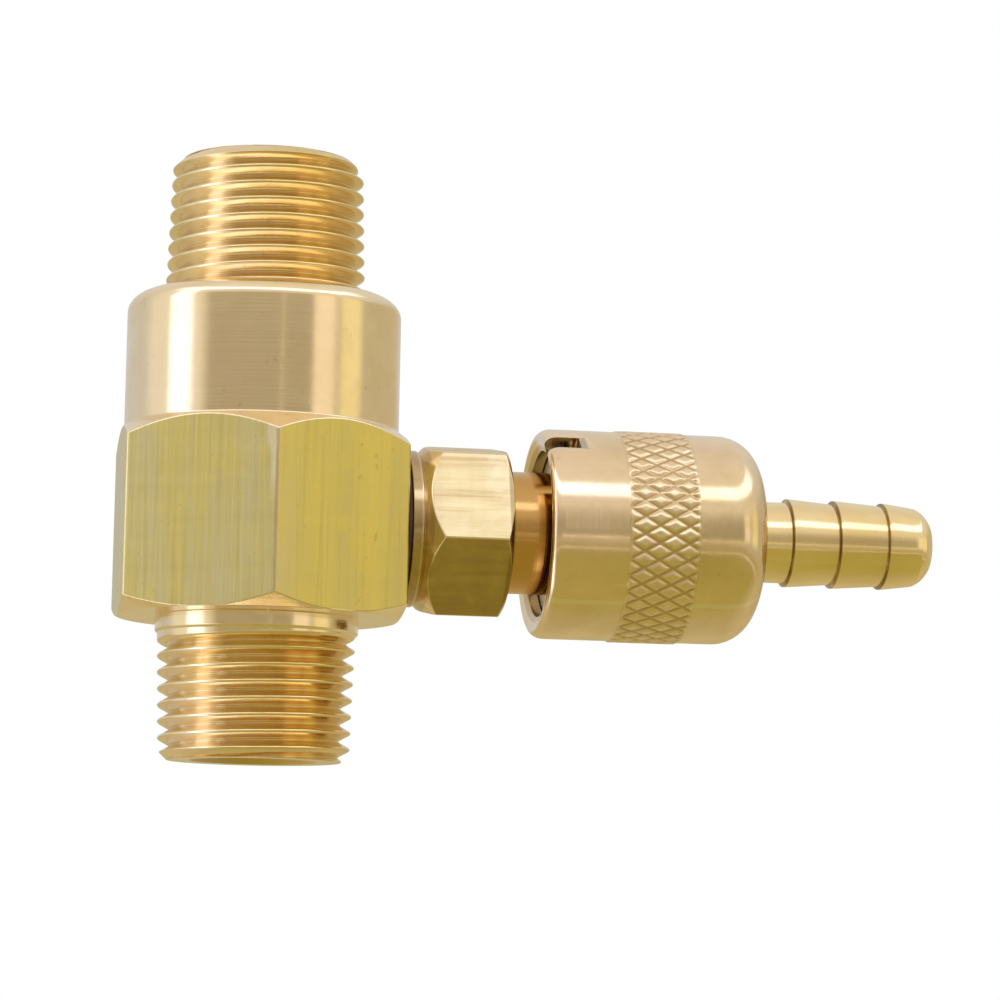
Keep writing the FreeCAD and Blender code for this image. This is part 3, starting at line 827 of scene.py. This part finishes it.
F = Mat("pale_floor", metallic=0.0)
fn = F.noise(F.mapping((9, 9, 9)), 1.0, 4.0, 0.5)
F.link(F.mix(F.ramp(fn, [(0.3, 0.0), (0.7, 1.0)]), (0.90, 0.90, 0.90), (0.94, 0.94, 0.94)), F.b.inputs["Base Color"])
F.b.inputs["Roughness"].default_value = 0.85
F.b.inputs["Specular IOR Level"].default_value = 0.2
FLOOR_Z = -0.0560
stage_plane("floor", 1.6, FLOOR_Z, F.m)

# camera at the photograph's angle
az, el, roll = -9.826 * DEG, -7.231 * DEG, 1.013 * DEG
dist = 306.42 * MM
target = Vector((21.168 * MM, 0, (23.968 - DATUM) * MM))
back = Vector((math.sin(az) * math.cos(el), -math.cos(az) * math.cos(el), math.sin(el)))
fwd = -back
right = fwd.cross(Vector((0, 0, 1))).normalized()
up = right.cross(fwd)
r2 = right * math.cos(roll) + up * math.sin(roll)
u2 = -right * math.sin(roll) + up * math.cos(roll)
cam_data = bpy.data.cameras.new("camera")
cam = bpy.data.objects.new("camera", cam_data)
bpy.context.scene.collection.objects.link(cam)
cam_data.sensor_fit = "HORIZONTAL"
cam_data.sensor_width = 36.0
cam_data.lens = 125.41
cam_data.clip_start = 0.01
cam_data.clip_end = 20
loc = target + back * dist
cam.matrix_world = Matrix(((r2.x, u2.x, back.x, loc.x), (r2.y, u2.y, back.y, loc.y),
                           (r2.z, u2.z, back.z, loc.z), (0, 0, 0, 1)))
bpy.context.scene.camera = cam


def area(name, az_d, el_d, d, sx, sy, energy, colour=(1, 1, 1)):
    """Rectangular softbox that faces the object; azimuth is measured from the camera side (-Y), + towards +X."""
    a, e = az_d * DEG, el_d * DEG
    pos = Vector((math.sin(a) * math.cos(e), -math.cos(a) * math.cos(e), math.sin(e))) * d
    aim = Vector((0.018, 0, 0.022))
    L = bpy.data.lights.new(name, "AREA")
    L.shape = "RECTANGLE"
    L.size, L.size_y = sx, sy
    L.energy = energy
    L.color = colour
    ob = bpy.data.objects.new(name, L)
    bpy.context.scene.collection.objects.link(ob)
    ob.location = aim + pos
    ob.rotation_euler = (-pos).to_track_quat("-Z", "Y").to_euler()
    return ob


# world: bright behind the object, dimmer tan on the camera's side
w = bpy.data.worlds.new("studio")
bpy.context.scene.world = w
w.use_nodes = True
wt = w.node_tree
wt.nodes.clear()
wo = wt.nodes.new("ShaderNodeOutputWorld")
bg = wt.nodes.new("ShaderNodeBackground")
tc = wt.nodes.new("ShaderNodeTexCoord")
sp = wt.nodes.new("ShaderNodeSeparateXYZ")
wt.links.new(tc.outputs["Generated"], sp.inputs[0])
wt.links.new(bg.outputs[0], wo.inputs[0])


def wmath(op, a, b=None, c=None, clamp=False):
    n = wt.nodes.new("ShaderNodeMath")
    n.operation = op
    n.use_clamp = clamp
    for i, v in enumerate((a, b, c)):
        if v is None:
            continue
        if isinstance(v, (int, float)):
            n.inputs[i].default_value = v
        else:
            wt.links.new(v, n.inputs[i])
    return n.outputs[0]


def wmix(fac, a, b):
    n = wt.nodes.new("ShaderNodeMix")
    n.data_type = "RGBA"
    for s, v in ((n.inputs[0], fac), (n.inputs[6], a), (n.inputs[7], b)):
        if isinstance(v, (int, float)):
            s.default_value = v
        elif isinstance(v, tuple):
            s.default_value = (*v, 1)
        else:
            wt.links.new(v, s)
    return n.outputs[2]


dx, dy, dz = sp.outputs[0], sp.outputs[1], sp.outputs[2]
AZ = wmath("MULTIPLY", wmath("ARCTAN2", dx, wmath("MULTIPLY", dy, -1.0)), 180 / math.pi)   # 0 on the camera's side, + to +X
EL = wmath("MULTIPLY", wmath("ARCSINE", dz), 180 / math.pi)


def band(v, lo, hi, soft_lo, soft_hi):
    a = wmath("MULTIPLY_ADD", v, 1.0 / soft_lo, -lo / soft_lo + 0.5, clamp=True)
    b = wmath("MULTIPLY_ADD", v, -1.0 / soft_hi, hi / soft_hi + 0.5, clamp=True)
    return wmath("MULTIPLY", a, b)


def wramp(fac, stops):
    n = wt.nodes.new("ShaderNodeValToRGB")
    e = n.color_ramp.elements
    while len(e) < len(stops):
        e.new(0.5)
    for k, (pos, c) in enumerate(stops):
        e[k].position = pos
        e[k].color = (*c, 1)
    wt.links.new(fac, n.inputs[0])
    return n.outputs[0]


def at(el_deg):
    return (el_deg + 90) / 180.0


E01 = wmath("MULTIPLY_ADD", EL, 1 / 180.0, 0.5)
front = wramp(E01, [(at(-90), (0.47, 0.40, 0.12)), (at(-30), (0.46, 0.39, 0.12)), (at(-17), (0.44, 0.36, 0.16)),
                    (at(-11), (0.60, 0.51, 0.33)), (at(-3), (0.46, 0.39, 0.26)), (at(9), (0.46, 0.40, 0.29)),
                    (at(17), (0.60, 0.53, 0.40)), (at(26), (0.86, 0.77, 0.64)), (at(34), (0.86, 0.77, 0.65)), (at(60), (0.92, 0.84, 0.72)),
                    (at(90), (0.86, 0.78, 0.68))])
rear = wramp(E01, [(at(-90), (0.46, 0.40, 0.13)), (at(-55), (0.55, 0.47, 0.25)), (at(-32), (0.62, 0.53, 0.30)),
                   (at(-12), (0.58, 0.48, 0.26)), (at(-1), (0.56, 0.47, 0.25)), (at(2), (0.66, 0.65, 0.64)), (at(10), (0.66, 0.65, 0.64)), (at(45), (0.80, 0.76, 0.70)),
                   (at(90), (0.78, 0.70, 0.61))])
behind = wmath("MULTIPLY_ADD", dy, 2.2, 0.35, clamp=True)
col = wmix(behind, front, rear)
low_mid = band(EL, -50, 38, 14, 10)
level = band(EL, -6, 22, 6, 10)
# pale wall beyond the left softbox, sharp-edged softbox, warm strip to the right, two thin lamps near the camera
col = wmix(wmath("MULTIPLY", band(AZ, -118, -88, 14, 3), low_mid), col, (0.88, 0.85, 0.76))
col = wmix(wmath("MULTIPLY", band(AZ, -91, -67, 1.5, 9), low_mid), col, (1.72, 1.76, 1.95))
col = wmix(wmath("MULTIPLY", band(AZ, -66, -56, 4, 10), low_mid), col, (0.90, 0.84, 0.70))
col = wmix(wmath("MULTIPLY", band(AZ, 36, 57, 3, 9), level), col, (1.04, 0.90, 0.70))
col = wmix(wmath("MULTIPLY", band(AZ, 61, 84, 6, 8), level), col, (0.98, 0.86, 0.50))
col = wmix(wmath("MULTIPLY", band(AZ, 88, 150, 8, 20), level), col, (0.60, 0.53, 0.38))
col = wmix(wmath("MULTIPLY", band(AZ, 9.4, 10.4, 0.5, 0.5), band(EL, 1, 20, 2, 2)), col, (1.0, 0.90, 0.66))
col = wmix(wmath("MULTIPLY", band(EL, -7.8, -6.6, 0.6, 0.6), band(AZ, -8, 40, 5, 5)), col, (1.3, 1.15, 0.84))
front_only = wmath("SUBTRACT", 1.0, behind)
col = wmix(wmath("MULTIPLY", band(EL, 37.5, 51.5, 2.5, 2.5), front_only), col, (1.85, 1.92, 2.15))
col = wmix(wmath("MULTIPLY", band(EL, -20.0, -18.6, 0.8, 0.8), front_only), col, (1.1, 0.98, 0.72))
lp = wt.nodes.new("ShaderNodeLightPath")
col = wmix(lp.outputs["Is Camera Ray"], col, (1.0, 1.0, 1.0))
wt.links.new(col, bg.inputs[0])
bg.inputs[1].default_value = 1.0

scene = bpy.context.scene
scene.view_settings.view_transform = "Standard"
scene.view_settings.look = "None"

area("key_soft", -20, 62, 0.9, 0.7, 0.5, 3.0, (1.0, 0.99, 0.97))
area("back_soft", 175, 35, 1.0, 0.9, 0.6, 3.0)
for o in bpy.context.scene.objects:
    if o.type == "LIGHT" or o.name == "floor":
        o.visible_glossy = False

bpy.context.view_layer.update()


for o in (body, stem, knob, barb, spring):
    print("tris", o.name, sum(len(p.vertices) - 2 for p in o.data.polygons))
